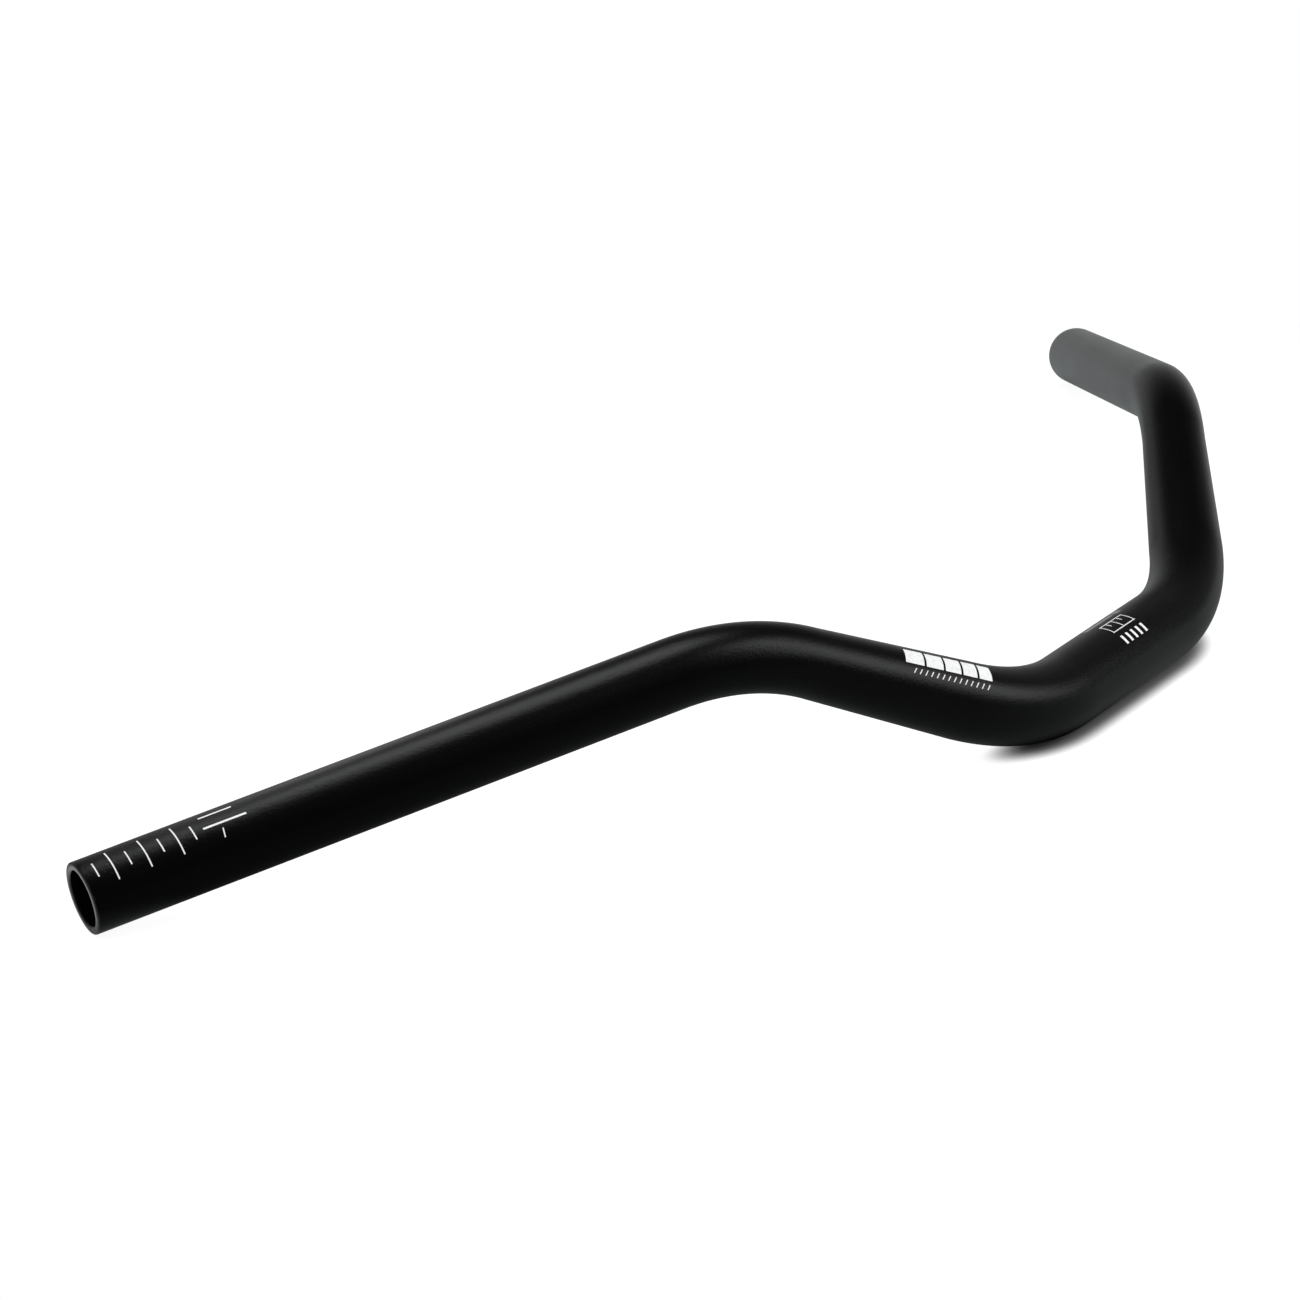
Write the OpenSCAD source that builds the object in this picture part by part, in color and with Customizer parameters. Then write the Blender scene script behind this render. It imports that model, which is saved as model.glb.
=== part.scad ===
// Trekking handlebar: one aluminium tube with a thick centre, two bends on each side and long straight
// grip zones. It lies as it rests on a table, on its centre and on both grip ends.
// Frame, in millimetres: the origin is the middle of the stem clamp zone, +X runs along the clamp zone to
// one grip, +Y runs back to the grip ends (towards the rider) and +Z points up from the table.

/* [Tube] */
// Outer diameter of the centre, where the stem holds it
clamp_d = 25.4; // [24:0.1:32]
// Outer diameter of the grip zones
grip_d = 22.2; // [19:0.1:24]
// Wall thickness all along the tube
wall = 2.4; // [1.5:0.1:3]
// Radius of the rounded outer edge of each cut end
end_round = 0.6; // [0.3:0.1:1.2]
// Width of the bevel inside each mouth
mouth_bevel = 0.4; // [0.2:0.1:0.8]

/* [Straights] */
// Length of the straight centre between the inner bends
centre_length = 75; // [50:1:140]
// Length of each riser, which tapers from the centre's diameter to the grip's
riser_length = 62; // [30:1:120]
// Length of each straight grip zone
grip_length = 195.4; // [130:0.2:260]

/* [Bends] */
// Angle of the inner bends, degrees
inner_bend = 35; // [15:1:50]
// Centreline radius of the inner bends
inner_bend_r = 92; // [60:1:140]
// Angle of the outer bends, degrees
outer_bend = 33; // [15:1:50]
// Centreline radius of the outer bends
outer_bend_r = 86; // [60:1:140]
// Turn about the riser from the plane of the inner bend to that of the outer bend, degrees
bend_turn = 116; // [100:1:135]

/* [Hidden] */
$fn = 72;

clamp_r = clamp_d / 2;
grip_r = grip_d / 2;
// How far cutting shapes pass the faces that they cut.
over = 1;
// How far a bend runs on before it's cut square, in degrees.
run_on = 4;

// Cosine and sine of an angle, moved by a few hundredths of a degree to a pair of six-decimal numbers
// whose squares add up to one. The pieces of the tube then meet without any mismatch.
function exact_pair(angle) = let (
    c = cos(angle),
    s = sin(angle),
    small_cos = abs(c) < abs(s),
    first = round(1e6 * (small_cos ? c : s)),
    tries = [for (v = [first - 400 : first + 400]) let (w = round(sqrt(1e12 - v * v)))
        [abs(v * v + w * w - 1e12), v, w]],
    least = min([for (t = tries) t[0]]),
    best = [for (t = tries) if (t[0] == least) t][0],
    second = best[2] * (small_cos ? sign(s) : sign(c)))
  (small_cos ? [best[1], second] : [second, best[1]]) / 1e6;

inner = exact_pair(inner_bend);
outer = exact_pair(outer_bend);
turn = exact_pair(-bend_turn);

// The centreline before the bar is rolled: X along the centre, Y towards the inside of the inner bend.
riser_dir = [inner[0], inner[1], 0];
riser_in = [-inner[1], inner[0], 0];
turned_in = riser_in * turn[0] + [0, 0, turn[1]];
riser_start = [centre_length / 2, 0, 0] + inner_bend_r * [inner[1], 1 - inner[0], 0];
riser_end = riser_start + riser_dir * riser_length;
grip_dir = riser_dir * outer[0] + turned_in * outer[1];
grip_start = riser_end + outer_bend_r * (riser_dir * outer[1] + turned_in * (1 - outer[0]));
grip_end = grip_start + grip_dir * grip_length;

// Height of a point, or of a direction, when the bar is rolled about X.
function rolled_z(p, roll) = p[1] * sin(roll) + p[2] * cos(roll);
// Gap under the rounded grip end when the centre lies on the table.
function end_gap(roll) = let (tilt = rolled_z(grip_dir, roll))
  rolled_z(grip_end - grip_dir * end_round, roll) - (grip_r - end_round) * sqrt(1 - tilt * tilt)
    - end_round + clamp_r;
// Roll at which the grip ends touch the table too, by halving the range.
function rest_roll(low, high, steps) = steps == 0 ? (low + high) / 2
  : let (mid = (low + high) / 2)
    end_gap(mid) > 0 ? rest_roll(low, mid, steps - 1) : rest_roll(mid, high, steps - 1);

roll = rest_roll(0, 89, 40);

// Moves children to the end of a bend that starts at the origin along Z and curves towards X.
module after_bend(bend_r, pair) {
  translate([bend_r, 0, 0])
    multmatrix([[pair[0], 0, pair[1], 0], [0, 1, 0, 0], [-pair[1], 0, pair[0], 0], [0, 0, 0, 1]])
      translate([-bend_r, 0, 0]) children();
}

// Turns children about Z by the angle of a pair.
module turned(pair) {
  multmatrix([[pair[0], -pair[1], 0, 0], [pair[1], pair[0], 0, 0], [0, 0, 1, 0], [0, 0, 0, 1]]) children();
}

// One solid bend. It's made a little too long and then cut square where the next piece starts.
module bend(tube_r, bend_r, pair) {
  difference() {
    translate([bend_r, 0, 0]) rotate([90, 0, 0]) rotate([0, 0, 180])
      rotate_extrude(angle = -atan2(pair[1], pair[0]) - run_on) translate([bend_r, 0]) circle(tube_r);
    after_bend(bend_r, pair) translate([-tube_r * 2, -tube_r * 2, 0]) cube(tube_r * 4);
  }
}

// A solid rod along Z with a rounded far edge.
module rounded_rod(r, length, round_r) {
  cylinder(r = r, h = length - round_r);
  translate([0, 0, length - round_r]) {
    cylinder(r = r - round_r, h = round_r);
    rotate_extrude() translate([r - round_r, 0]) intersection() {
      circle(round_r);
      square(round_r * 2);
    }
  }
}

// What fills or clears the grip zone: the outside with its rounded edge, or the bore with its bevelled mouth.
module grip_zone(inset) {
  if (inset == 0) rounded_rod(grip_r, grip_length, end_round);
  else {
    cylinder(r = grip_r - inset, h = grip_length + over);
    translate([0, 0, grip_length - mouth_bevel])
      cylinder(r1 = grip_r - inset, r2 = grip_r - inset + mouth_bevel + over, h = mouth_bevel + over);
  }
}

// One side of the bar along Z from the end of the centre, at a depth below the outer surface.
module side(inset) {
  translate([0, 0, centre_length / 2]) {
    bend(clamp_r - inset, inner_bend_r, inner);
    after_bend(inner_bend_r, inner) {
      cylinder(r1 = clamp_r - inset, r2 = grip_r - inset, h = riser_length);
      translate([0, 0, riser_length]) turned(turn) {
        bend(grip_r - inset, outer_bend_r, outer);
        after_bend(outer_bend_r, outer) grip_zone(inset);
      }
    }
  }
}

// The whole bar as a solid, at a depth below the outer surface, with its centre along X.
module filled_bar(inset) {
  multmatrix([[0, 0, 1, 0], [1, 0, 0, 0], [0, 1, 0, 0], [0, 0, 0, 1]]) {
    translate([0, 0, -centre_length / 2]) cylinder(r = clamp_r - inset, h = centre_length);
    side(inset);
    mirror([0, 0, 1]) side(inset);
  }
}

module handlebar() {
  color([0.03, 0.03, 0.032]) rotate([roll, 0, 0]) difference() {
    filled_bar(0);
    filled_bar(wall);
  }
}

handlebar();
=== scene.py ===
"""Trekking handlebar: one bent aluminium tube in satin black, lying on a white table.

The tube is swept at a fine pitch along the same centreline as the CAD solid, with rounded cut ends and an
open bore. The white marks are thin layers of ink that follow the tube's surface.
"""
import math

import bpy
from mathutils import Matrix, Vector


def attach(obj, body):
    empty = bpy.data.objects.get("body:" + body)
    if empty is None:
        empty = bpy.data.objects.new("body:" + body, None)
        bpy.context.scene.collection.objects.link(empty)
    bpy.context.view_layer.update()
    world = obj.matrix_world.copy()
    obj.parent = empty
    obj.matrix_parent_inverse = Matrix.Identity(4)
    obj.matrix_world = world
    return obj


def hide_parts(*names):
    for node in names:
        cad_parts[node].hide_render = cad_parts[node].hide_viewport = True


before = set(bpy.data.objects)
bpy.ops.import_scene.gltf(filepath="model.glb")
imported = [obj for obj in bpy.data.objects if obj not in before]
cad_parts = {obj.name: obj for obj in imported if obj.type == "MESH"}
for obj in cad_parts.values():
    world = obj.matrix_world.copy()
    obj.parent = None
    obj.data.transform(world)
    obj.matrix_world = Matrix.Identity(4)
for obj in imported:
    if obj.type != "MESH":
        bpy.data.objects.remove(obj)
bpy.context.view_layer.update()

# Sizes, in metres, as in the CAD model

CLAMP_R, GRIP_R, WALL = 0.0127, 0.0111, 0.0024
END_ROUND, MOUTH_BEVEL = 0.0006, 0.0004
CENTRE, RISER, GRIP = 0.075, 0.062, 0.1954
# The bends, and the turn about the riser between them, as the cosine and sine of their angles.
INNER_BEND, INNER_R = (0.819048, 0.573725), 0.092
OUTER_BEND, OUTER_R = (0.838592, 0.54476), 0.086
TURN = (-0.43824, -0.898858)
# The roll about the centre at which both grip ends touch the table too.
ROLL = math.radians(39.122865)
TABLE_Z = -CLAMP_R

# The bends' angles, and how far along one half of the tube each of its pieces starts and the last one ends.
INNER_ANGLE = math.atan2(INNER_BEND[1], INNER_BEND[0])
OUTER_ANGLE = math.atan2(OUTER_BEND[1], OUTER_BEND[0])
BEND_IN = CENTRE / 2
RISER_IN = BEND_IN + INNER_R * INNER_ANGLE
BEND_OUT = RISER_IN + RISER
GRIP_IN = BEND_OUT + OUTER_R * OUTER_ANGLE
TUBE_END = GRIP_IN + GRIP

# Points round each ring of the tube, the most between two rings, the steps over a rounded edge, and the
# angle from which an edge is shaded as sharp.
AROUND = 96
STRAIGHT_PITCH, BEND_PITCH, GRIP_PITCH = 0.004, 0.0015, 0.005
EDGE_STEPS = 8
SHARP_FROM = math.radians(32)
# How far the ink stands above the surface and reaches into it, and the most between its points.
INK = 0.00003
INK_PITCH, INK_TURN = 0.0015, math.radians(3)

# The tube's centreline, before the bar is rolled. The inner bends lie level.
UP = Vector((0, 0, 1))
RISER_DIR = Vector((INNER_BEND[0], INNER_BEND[1], 0))
RISER_SIDE = Vector((-INNER_BEND[1], INNER_BEND[0], 0))
OUT_SIDE = RISER_SIDE * TURN[0] + UP * TURN[1]
OUT_AXIS = RISER_DIR.cross(OUT_SIDE)
RISER_FOOT = Vector((BEND_IN + INNER_R * INNER_BEND[1], INNER_R * (1 - INNER_BEND[0]), 0))
RISER_TOP = RISER_FOOT + RISER_DIR * RISER
ROLLED = Matrix.Rotation(ROLL, 3, "X")


def swung(v, angle):
    """A direction on the riser, carried round the outer bend by an angle."""
    along, aside, across = v.dot(RISER_DIR), v.dot(OUT_SIDE), v.dot(OUT_AXIS)
    c, s = math.cos(angle), math.sin(angle)
    return (RISER_DIR * (along * c - aside * s) + OUT_SIDE * (along * s + aside * c)
            + OUT_AXIS * across)


def station(arc):
    """Point, forward and two side directions at a distance along one half of the tube, and its radius."""
    if arc < BEND_IN:
        p, t, n, b = Vector((arc, 0, 0)), Vector((1, 0, 0)), Vector((0, 1, 0)), UP
    elif arc < RISER_IN:
        w = (arc - BEND_IN) / INNER_R
        c, s = math.cos(w), math.sin(w)
        p, t = Vector((BEND_IN + INNER_R * s, INNER_R * (1 - c), 0)), Vector((c, s, 0))
        n, b = Vector((-s, c, 0)), UP
    elif arc < BEND_OUT:
        p, t, n, b = RISER_FOOT + RISER_DIR * (arc - RISER_IN), RISER_DIR, RISER_SIDE, UP
    else:
        w = min((arc - BEND_OUT) / OUTER_R, OUTER_ANGLE)
        p = RISER_TOP + OUTER_R * (RISER_DIR * math.sin(w) + OUT_SIDE * (1 - math.cos(w)))
        t, n, b = (swung(v, w) for v in (RISER_DIR, RISER_SIDE, UP))
        p = p + t * max(arc - GRIP_IN, 0)
    taper = min(max((arc - RISER_IN) / RISER, 0), 1)
    return p, t, n, b, CLAMP_R + (GRIP_R - CLAMP_R) * taper


def on_tube(arc, turn, depth=0.0, radius=None):
    """A point at a signed distance along the tube and an angle round it, at a depth below the surface or
    below a given radius, and how far it is from the centreline."""
    p, _, n, b, r = station(abs(arc))
    r = (r if radius is None else radius) - depth
    v = ROLLED @ (p + (n * math.cos(turn) + b * math.sin(turn)) * r)
    return Vector((-v.x if arc < 0 else v.x, v.y, v.z)), r


# Making pieces

def steps(low, high, pitch):
    """Evenly spaced numbers from low up to but not at high, at most a pitch apart."""
    n = max(1, math.ceil((high - low) / pitch - 1e-9))
    return [low + (high - low) * i / n for i in range(n)]


def new_piece(name, points, faces, material, smooth=True):
    """An object from points and faces, in the finish of a material."""
    mesh = bpy.data.meshes.new(name)
    mesh.from_pydata([tuple(p) for p in points], [], faces)
    mesh.validate()
    mesh.polygons.foreach_set("use_smooth", [smooth] * len(mesh.polygons))
    mesh.materials.append(material)
    piece = bpy.data.objects.new(name, mesh)
    bpy.context.scene.collection.objects.link(piece)
    return piece


def half_arcs():
    """Where the rings of one half stand, from the middle to the start of the rounded end."""
    last = TUBE_END - END_ROUND
    pieces = ((0, BEND_IN, STRAIGHT_PITCH), (BEND_IN, RISER_IN, BEND_PITCH),
              (RISER_IN, BEND_OUT, STRAIGHT_PITCH), (BEND_OUT, GRIP_IN, BEND_PITCH),
              (GRIP_IN, last, GRIP_PITCH))
    return [arc for piece in pieces for arc in steps(*piece)] + [last]


def end_rings():
    """(arc, radius) of the rings over a cut end, from its rounded edge to the bevel in its mouth."""
    bore = GRIP_R - WALL
    quarter = [math.pi / 2 * i / EDGE_STEPS for i in range(1, EDGE_STEPS + 1)]
    rounded = [(TUBE_END - END_ROUND * (1 - math.sin(w)), GRIP_R - END_ROUND * (1 - math.cos(w)))
               for w in quarter]
    face = [(TUBE_END, bore + MOUTH_BEVEL + (GRIP_R - END_ROUND - bore - MOUTH_BEVEL) * k)
            for k in (0.66, 0.33, 0)]
    return rounded + face + [(TUBE_END - MOUTH_BEVEL, bore)]


def tube(name, material):
    """The whole bar as one closed skin: outside, cut end, bore and the other cut end. Each point keeps its
    place on the straightened tube for the material."""
    arcs = half_arcs()
    outside = [(arc, None, 0.0) for arc in arcs]
    bore = [(arc, None, WALL) for arc in arcs[:-1]]
    end = [(arc, radius, 0.0) for arc, radius in end_rings()]

    def other_half(rings):
        return [(-arc, radius, depth) for arc, radius, depth in rings]

    rings = (other_half(outside[:0:-1]) + outside + end + bore[::-1] + other_half(bore[1:])
             + other_half(end[::-1]))
    points, place = [], []
    for arc, radius, depth in rings:
        for k in range(AROUND):
            turn = 2 * math.pi * k / AROUND
            p, r = on_tube(arc, turn, depth, radius)
            points.append(p)
            place += [arc, r * math.cos(turn), r * math.sin(turn)]
    faces = []
    for i in range(len(rings)):
        here, ahead = i * AROUND, (i + 1) % len(rings) * AROUND
        for k in range(AROUND):
            m = (k + 1) % AROUND
            faces.append((here + k, here + m, ahead + m, ahead + k))
    piece = new_piece(name, points, faces, material)
    piece.data.attributes.new("tube_place", "FLOAT_VECTOR", "POINT").data.foreach_set("vector", place)
    piece.data.set_sharp_from_angle(angle=SHARP_FROM)
    return piece


def printed(name, patches, material):
    """Ink on the tube, as closed layers. Each patch is a band's four corners in order, each in mm along the
    tube and degrees round it."""
    points, faces = [], []
    for corners in patches:
        a, b, c, d = (Vector((s / 1000, math.radians(t))) for s, t in corners)
        nu = max(1, math.ceil(max((b - a).x, (c - d).x) / INK_PITCH))
        nv = max(1, math.ceil((d - a).y / INK_TURN))
        first = len(points)
        for depth in (-INK, INK):
            for i in range(nu + 1):
                for j in range(nv + 1):
                    u, v = i / nu, j / nv
                    q = (a * (1 - u) + b * u) * (1 - v) + (d * (1 - u) + c * u) * v
                    points.append(on_tube(q.x, q.y, depth)[0])

        def at(i, j, low):
            return first + (low * (nu + 1) + i) * (nv + 1) + j

        for i in range(nu):
            for j in range(nv):
                faces.append((at(i, j, 0), at(i, j + 1, 0), at(i + 1, j + 1, 0), at(i + 1, j, 0)))
                faces.append((at(i, j, 1), at(i + 1, j, 1), at(i + 1, j + 1, 1), at(i, j + 1, 1)))
        for i in range(nu):
            faces.append((at(i, 0, 0), at(i + 1, 0, 0), at(i + 1, 0, 1), at(i, 0, 1)))
            faces.append((at(i, nv, 0), at(i, nv, 1), at(i + 1, nv, 1), at(i + 1, nv, 0)))
        for j in range(nv):
            faces.append((at(0, j, 0), at(0, j, 1), at(0, j + 1, 1), at(0, j + 1, 0)))
            faces.append((at(nu, j, 0), at(nu, j + 1, 0), at(nu, j + 1, 1), at(nu, j, 1)))
    return new_piece(name, points, faces, material, smooth=False)


# Finishes

class Value:
    """A number or vector in a material. An expression on it adds its Math nodes."""

    def __init__(self, finish, socket):
        self.finish, self.socket = finish, socket

    def _math(self, kind, *terms):
        return self.finish.node("ShaderNodeMath", dict(operation=kind), dict(enumerate(terms)))

    def __add__(self, other):
        return self._math("ADD", self, other)

    def __sub__(self, other):
        return self._math("SUBTRACT", self, other)

    def __rsub__(self, other):
        return self._math("SUBTRACT", other, self)

    def __mul__(self, other):
        return self._math("MULTIPLY", self, other)

    def __abs__(self):
        return self._math("ABSOLUTE", self)

    __radd__, __rmul__ = __add__, __mul__


class Finish:
    """A material, or the world, with its nodes."""

    def __init__(self, owner):
        owner.use_nodes = True
        self.owner, self.tree = owner, owner.node_tree
        self.tree.nodes.clear()

    def node(self, kind, settings=None, inputs=None, out=0):
        """Adds a node with its settings and the values or links of its sockets, and gives one output, if it
        has any."""
        node = self.tree.nodes.new(kind)
        for key, value in (settings or {}).items():
            setattr(node, key, value)
        for key, value in (inputs or {}).items():
            if isinstance(value, Value):
                self.tree.links.new(value.socket, node.inputs[key])
            else:
                node.inputs[key].default_value = value
        return Value(self, node.outputs[out]) if node.outputs else None

    def part(self, vector, axis):
        """One coordinate of a vector: 0, 1 or 2 for X, Y or Z."""
        return self.node("ShaderNodeSeparateXYZ", {}, {0: vector}, out=axis)

    def measured(self, operation, *vectors):
        """The number that a vector operation gives, such as a length or a dot product."""
        return self.node("ShaderNodeVectorMath", dict(operation=operation), dict(enumerate(vectors)), out=1)

    def scaled(self, vector, factors):
        """A place or colour with each of its three numbers times its factor."""
        return self.node("ShaderNodeVectorMath", dict(operation="MULTIPLY"), {0: vector, 1: factors})

    def noise(self, place, scale, detail, rough):
        """Noise from 0 to 1 at a place, with so many cells to a metre."""
        return self.node("ShaderNodeTexNoise", dict(noise_dimensions="3D"),
                         {"Vector": place, "Scale": scale, "Detail": detail, "Roughness": rough})

    def open_sky(self, samples, distance):
        """How little stands in the way within a distance, from 0 for shut in to 1 for open."""
        return self.node("ShaderNodeAmbientOcclusion", dict(samples=samples), {"Distance": distance}, out=1)

    def span(self, value, low, high):
        """0 at low or below, 1 at high or above, and smooth between them."""
        return self.node("ShaderNodeMapRange", dict(interpolation_type="SMOOTHSTEP"),
                         {"Value": value, "From Min": low, "From Max": high})

    def blend(self, factor, first, second):
        """A colour that goes from the first to the second with a factor."""
        inputs = {0: factor, 6: first if isinstance(first, Value) else (*first, 1),
                  7: second if isinstance(second, Value) else (*second, 1)}
        return self.node("ShaderNodeMix", dict(data_type="RGBA"), inputs, out=2)

    def bump(self, height, distance, strength, normal=None):
        """A normal tilted by a height, over one that's there already if it's given."""
        inputs = {"Height": height, "Distance": distance, "Strength": strength}
        if normal is not None:
            inputs["Normal"] = normal
        return self.node("ShaderNodeBump", {}, inputs)

    def emission(self, colour):
        """A shader that glows in a colour or a shade of grey, where 1 is white."""
        return self.node("ShaderNodeEmission", {}, {"Color": colour, "Strength": 1})

    def mixed(self, factor, first, second):
        """A shader that goes from the first to the second with a factor."""
        return self.node("ShaderNodeMixShader", {}, {0: factor, 1: first, 2: second})

    def surface(self, shader):
        """Ends the nodes in a shader, and gives the material or world."""
        of_world = isinstance(self.owner, bpy.types.World)
        kind = "ShaderNodeOutputWorld" if of_world else "ShaderNodeOutputMaterial"
        self.node(kind, {}, {"Surface": shader})
        return self.owner


DEEP_BLACK, SOFT_BLACK = (0.0007, 0.0007, 0.0008), (0.0028, 0.0028, 0.0030)
WORN_EDGE, CUT_FACE, BARE_METAL = (0.045, 0.045, 0.047), (0.045, 0.044, 0.043), (0.27, 0.255, 0.24)


def satin_black():
    """Bead-blasted tube, anodised black: a deep colour under a soft satin gloss with a fine grain. The cut
    faces are turned and a little lighter, and the metal is bare along the upper side of each mouth."""
    f = Finish(bpy.data.materials.new("satin_black_anodised"))
    place = f.node("ShaderNodeAttribute", dict(attribute_name="tube_place"), out=1)
    blast = f.noise(place, 2600, 3, 0.6)
    grain = f.noise(place, 1150, 3, 0.65)
    drawn = f.noise(f.scaled(place, (18, 900, 900)), 1, 3, 0.55)
    cloud = f.noise(place, 38, 3, 0.5)

    # The cut faces, the turning marks on them, the worn outer edges and the bare upper side of the mouths.
    along = abs(f.part(place, 0))
    radial = f.measured("LENGTH", f.scaled(place, (0, 1, 1)))
    cut = f.span(along, TUBE_END - 0.00055, TUBE_END - 0.0002)
    turned = f.noise(f.node("ShaderNodeCombineXYZ", {}, {0: radial * 9000}), 1, 2, 0.5)
    edge = (f.span(along, TUBE_END - 0.0011, TUBE_END - 0.0003)
            * f.span(f.noise(place, 420, 4, 0.6), 0.52, 0.72))
    topside = f.span(f.part(place, 2), -0.005, 0.007)
    bare = cut * topside * (1 - f.span(radial, 0.0096, 0.0103))

    colour = f.blend(blast * 0.6 + drawn * 0.4, DEEP_BLACK, SOFT_BLACK)
    colour = f.blend(edge * 0.5, colour, WORN_EDGE)
    colour = f.blend(cut * (0.4 + turned * 0.3), colour, CUT_FACE)
    colour = f.blend(bare * (0.75 + turned * 0.25), colour, BARE_METAL)
    rough = 0.245 + cloud * 0.05 + blast * 0.05 + drawn * 0.03 - cut * 0.03
    fine = f.bump(grain * 0.6 + blast * 0.3 + drawn * 0.1, 0.00014, 0.9)
    normal = f.bump(turned * cut, 0.00001, 0.6, fine)
    return f.surface(f.node("ShaderNodeBsdfPrincipled", {}, {
        "Base Color": colour, "Roughness": rough, "Normal": normal, "Specular IOR Level": 0.168}))


def ink(name, shade, rough):
    """Screen-printed ink: a matt layer with a slightly uneven cover."""
    f = Finish(bpy.data.materials.new(name))
    place = f.node("ShaderNodeTexCoord", {}, out=3)
    speck = f.noise(place, 5200, 3, 0.6)
    cover = f.noise(place, 700, 2, 0.5)
    thin = tuple(shade * k for k in (0.80, 0.80, 0.79))
    colour = f.blend(f.span(speck * 0.6 + cover * 0.4, 0.36, 0.56), thin, (shade,) * 3)
    return f.surface(f.node("ShaderNodeBsdfPrincipled", {}, {
        "Base Color": colour, "Roughness": rough + speck * 0.1, "Specular IOR Level": 0.3,
        "Normal": f.bump(speck, 0.000008, 0.5)}))


# The bar and its marks

def band(s0, s1, t0, t1, lean=0.0):
    """A patch from s0 to s1 mm along the tube and t0 to t1 degrees round it. Lean shifts its t1 side."""
    return [(s0, t0), (s1, t0), (s1 + lean, t1), (s0 + lean, t1)]


def stroke(s, half_width, t0, t1, lean=0.0):
    """A narrow band across the tube, centred at s."""
    return band(s - half_width, s + half_width, t0, t1, lean)


def ruler_patches():
    """Seven marks near the end, for cutting the bar to length. Every other one is longer."""
    first, pitch, middle, short, long = -396.3, 5.16, 84.0, 13.6, 28.3
    halves = [long if i % 2 else short for i in range(7)]
    return [stroke(first + pitch * i, 0.22, middle - half, middle + half) for i, half in enumerate(halves)]


def line_patches():
    """Two plain lines and a short stroke beside the ruler marks."""
    return [band(-361.6, -351.0, 57.5, 61.0), band(-362.2, -348.4, 83.0, 86.5),
            band(-357.0, -356.6, 94.6, 110, -0.6)]


def riser_patches():
    """A long plain block, slit four times on the slant, over a row of fine slanted strokes."""
    cuts = [-126.0, -117.6, -109.8, -102.6, -96.0, -89.8]
    blocks = [band(a + 2.05, b + 1.15, 68.5, 98.5, -1.6) for a, b in zip(cuts, cuts[1:])]
    return blocks + [stroke(-121.6 + 2.3 * i, 0.2, 105.5, 114.0, -1.1) for i in range(14)]


def centre_patches():
    """A fine scale for setting the bar straight in its stem, with five short blocks beside it."""
    rails = [band(-8.5, 8.5, 44.0, 45.6), band(-8.5, 8.5, 67.4, 69.0)]
    ticks = [stroke(-8 + 4 * i, 0.22, 46.2, 56.0 if i % 2 else 66.8) for i in range(5)]
    return rails + ticks + [stroke(s, 0.7, 79, 95) for s in (-7.6, -3.8, 0, 3.8, 7.6)]


def strip_patches():
    """A thin strip along the centre, in two lengths."""
    return [band(-12.5, 9.0, 25.0, 33.0), band(9.8, 14.2, 23.0, 35.0)]


bar = tube("bar_tube", satin_black())
# The white print is one ink in two copies, as painted light and shade: lighter on the ruler marks and note
# lines near the end, where less light falls, and greyer on the riser block and centre scale, so that it
# stays below white where more light falls.
print_white_painted_shade = ink("print_white_painted_shade", 0.74, 0.45)
print_white_painted_light = ink("print_white_painted_light", 0.95, 0.45)
grey_ink = ink("grey_ink", 0.20, 0.4)
prints = [printed("ruler_marks", ruler_patches(), print_white_painted_light),
          printed("note_lines", line_patches(), print_white_painted_light),
          printed("riser_block", riser_patches(), print_white_painted_shade),
          printed("centre_scale", centre_patches(), print_white_painted_shade),
          printed("centre_strip", strip_patches(), grey_ink)]

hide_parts("handlebar")
for piece in [bar, *prints]:
    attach(piece, "root")

# Table, light and camera

# Level directions in the room, seen from the camera: straight ahead and to the right.
AHEAD, SIDE_ON = Vector((0.8755, 0.4834, 0)), Vector((0.4871, -0.8733, 0))
# The spot on the table that the near cut end mirrors, a painted glow seen only in reflections, and half the
# table's side.
END_GLOW_SPOT = (-0.340, 0.195, TABLE_Z)
TABLE_HALF = 9
# What the lamps face, their tint, and the tint of the table as the tube mirrors it.
MIDDLE = Vector((-0.05, 0.06, 0))
COOL_WHITE, MIRROR_TINT = (0.985, 1.0, 1.003), (0.95, 1.0, 1.01)
# Where the dim backdrop stands: ahead, a little to the left.
BACKDROP = (AHEAD - SIDE_ON * 0.22).normalized()


def ray(f, *kinds):
    """1 for a ray of one of these kinds, such as Camera."""
    first, *rest = (f.node("ShaderNodeLightPath", {}, out=f"Is {kind} Ray") for kind in kinds)
    return sum(rest, first)


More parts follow.
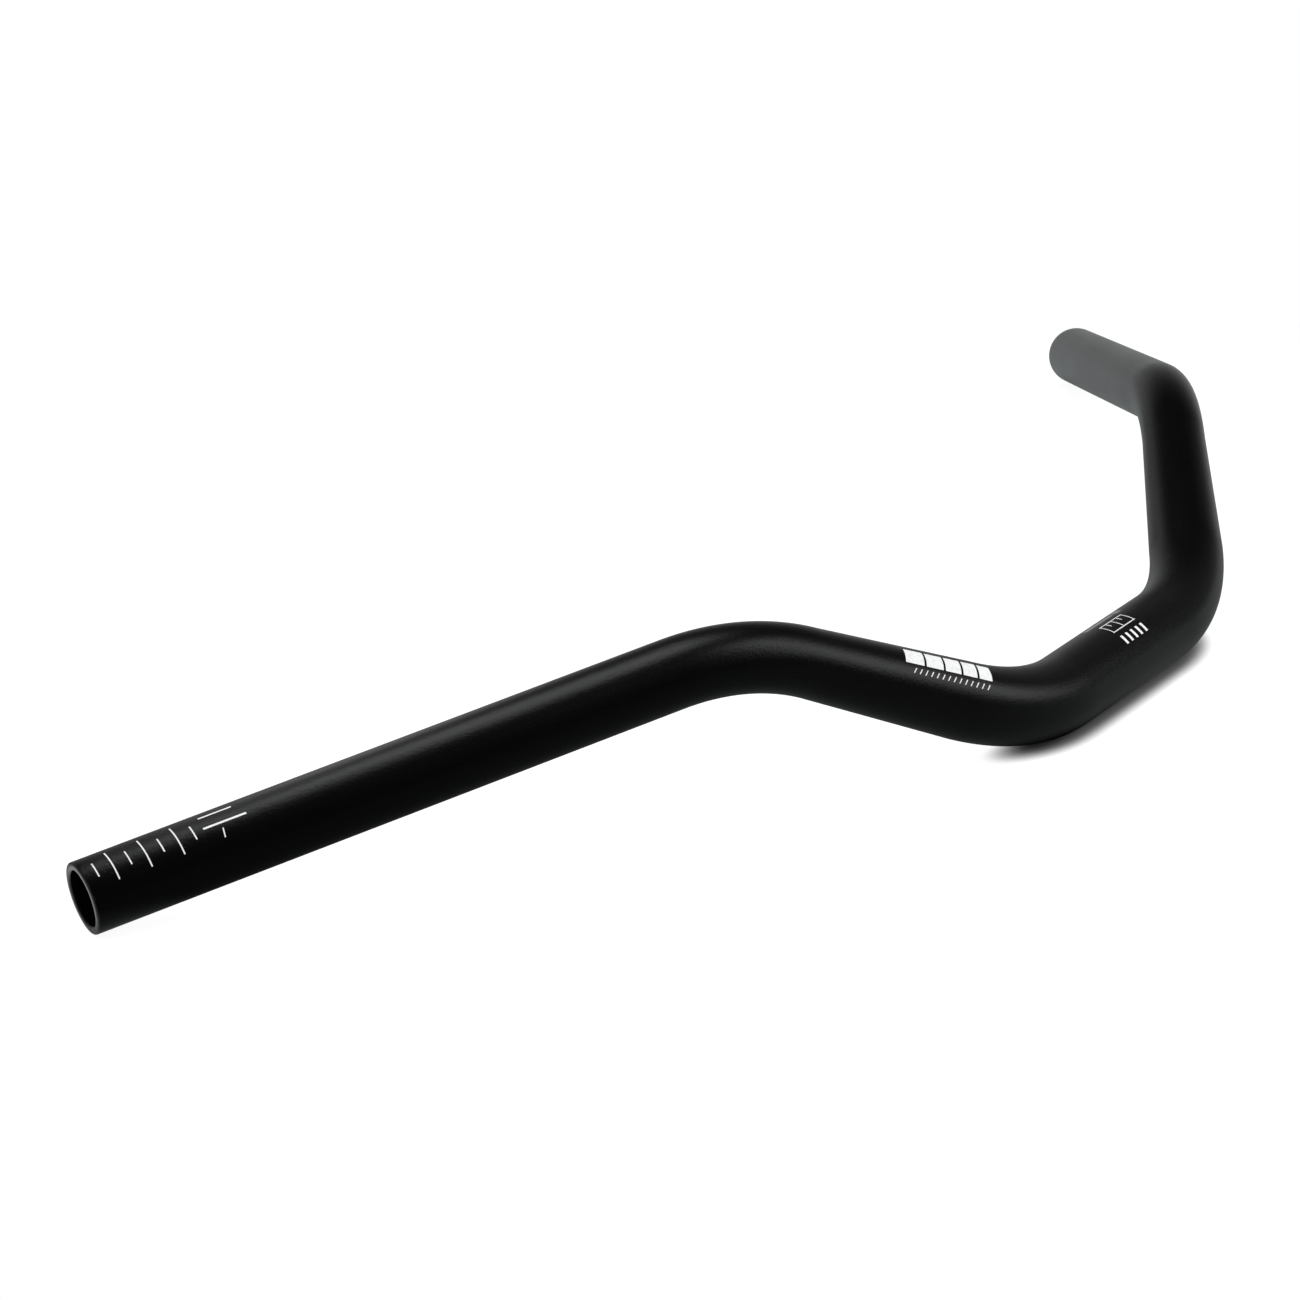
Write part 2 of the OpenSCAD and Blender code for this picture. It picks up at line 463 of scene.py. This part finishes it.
def white_table():
    """Matt white board, blown out to white where it's seen, except in the painted contact shadow close to
    the tube. The tube mirrors it as a painted grey glow, seen only in reflections, that is lighter ahead
    and to the right, with a light spot beside the near end."""
    f = Finish(bpy.data.materials.new("white_table"))
    place = f.node("ShaderNodeTexCoord", {}, out=3)
    reach = f.measured("LENGTH", place)
    ahead = f.measured("DOT_PRODUCT", place, tuple(AHEAD))
    aside = f.measured("DOT_PRODUCT", place, tuple(SIDE_ON))

    # What the camera sees: white, with a contact shadow round the bar's middle that is wider on its right.
    close = f.open_sky(16, 0.007) + 0.14 - f.span(aside, -0.05, 0.0) * 0.20
    shade = 1 - (1 - f.span(close, 0.22, 0.90)) * (1 - 0.98 * f.span(reach, 0.10, 0.2))
    seen = f.emission(shade * 0.95)
    faint = f.node("ShaderNodeBsdfDiffuse", {}, {"Color": (0.16, 0.16, 0.16, 1)})
    near = f.node("ShaderNodeAddShader", {}, {0: seen, 1: faint})
    white = f.mixed(f.span(reach, 0.38, 0.5), near, f.emission((1, 1, 1, 1)))

    # What the tube mirrors: a painted glow seen only in reflections, darker in the shadow and close under
    # the tube.
    level = 0.035 + f.span(ahead, -0.45, 0.75) * (0.14 + f.span(aside, -0.5, 0.05) * 0.58)
    beside_end = f.measured("DISTANCE", place, END_GLOW_SPOT)
    level = level + (1 - f.span(beside_end, 0.012, 0.06)) * 0.6
    in_shadow = shade + (1 - shade) * f.span(aside, -0.02, 0.02) * 0.75
    under = f.span(f.open_sky(8, 0.03), 0.15, 0.95)
    mirrored = f.emission(f.scaled(level * in_shadow * (0.6 + under * 0.4), MIRROR_TINT))

    # What every other ray meets.
    grey = 0.78 + f.noise(place, 60, 3, 0.5) * 0.04
    lit = f.node("ShaderNodeBsdfDiffuse", {}, {
        "Color": f.node("ShaderNodeCombineColor", {}, {0: grey, 1: grey, 2: grey})})
    other = f.mixed(ray(f, "Glossy"), lit, mirrored)
    return f.surface(f.mixed(ray(f, "Camera", "Transmission"), other, white))


def studio():
    """White to the camera. Otherwise dark, with a dimly glowing backdrop ahead that fades upwards."""
    f = Finish(bpy.data.worlds.new("studio"))
    way = f.node("ShaderNodeTexCoord", {}, out=0)
    high = f.part(way, 2)
    ahead = f.measured("DOT_PRODUCT", way, tuple(BACKDROP))
    glow = ((1 - f.span(high, 0.33, 0.64)) * (0.62 - f.span(high, 0.02, 0.40) * 0.36)
            * f.span(ahead, 0.42, 0.80))
    strength = ray(f, "Camera", "Transmission") + ray(f, "Glossy") * glow * 0.8 + ray(f, "Diffuse") * 0.62
    return f.surface(f.node("ShaderNodeBackground", {}, {"Color": (1, 1, 1, 1), "Strength": strength}))


def softbox(name, turn, height, away, wide, tall, lean, light):
    """A plain rectangular light that faces the bar's middle from a turn (degrees, to the left of straight
    ahead) and a height (degrees). Light is how bright its face is, where white paper is 1."""
    data = bpy.data.lights.new(name, "AREA")
    data.shape, data.size, data.size_y = "RECTANGLE", wide, tall
    data.energy = light * wide * tall * math.pi
    data.color = COOL_WHITE
    lamp = bpy.data.objects.new(name, data)
    turn, height, lean = map(math.radians, (turn, height, lean))
    level = AHEAD * math.cos(turn) - SIDE_ON * math.sin(turn)
    z = level * math.cos(height) + UP * math.sin(height)
    across = UP.cross(z).normalized()
    upright = z.cross(across)
    x = across * math.cos(lean) + upright * math.sin(lean)
    y = upright * math.cos(lean) - across * math.sin(lean)
    turned = Matrix((x, y, z)).transposed().to_4x4()
    lamp.matrix_world = Matrix.Translation(MIDDLE + z * away) @ turned
    bpy.context.scene.collection.objects.link(lamp)


def photo_camera():
    """A long lens from above and to the left, looking along the bar."""
    right, down = Vector((0.4871096, -0.8732507, 0.0125448)), Vector((-0.2768962, -0.1680472, -0.9460912))
    forward = Vector((0.828283, 0.4573765, -0.3236572))
    eye = Vector((-1.403463, -0.601127, 0.520545))
    data = bpy.data.cameras.new("camera")
    data.sensor_fit, data.sensor_width, data.lens = "HORIZONTAL", 36, 135.0081
    data.clip_start, data.clip_end = 0.05, 60
    camera = bpy.data.objects.new("camera", data)
    camera.matrix_world = Matrix.Translation(eye) @ Matrix((right, -down, -forward)).transposed().to_4x4()
    bpy.context.scene.collection.objects.link(camera)
    return camera


corners = [(x * TABLE_HALF, y * TABLE_HALF, TABLE_Z) for x, y in ((-1, -1), (1, -1), (1, 1), (-1, 1))]
table = new_piece("table", corners, [(0, 1, 2, 3)], white_table())

softbox("top_softbox", turn=74.7, height=80.2, away=0.60, wide=0.30, tall=0.40, lean=0, light=4.7)
softbox("right_softbox", turn=-93.2, height=24.5, away=0.60, wide=0.449, tall=0.20, lean=-10, light=3.45)
softbox("high_right_softbox", turn=-102.5, height=46.1, away=0.80, wide=0.30, tall=0.30, lean=0, light=4.9)
softbox("left_softbox", turn=45.7, height=39.2, away=0.53, wide=0.121, tall=0.57, lean=-35, light=1.1)
bpy.context.scene.world = studio()
bpy.context.scene.camera = photo_camera()
bpy.context.scene.view_settings.view_transform = "Standard"
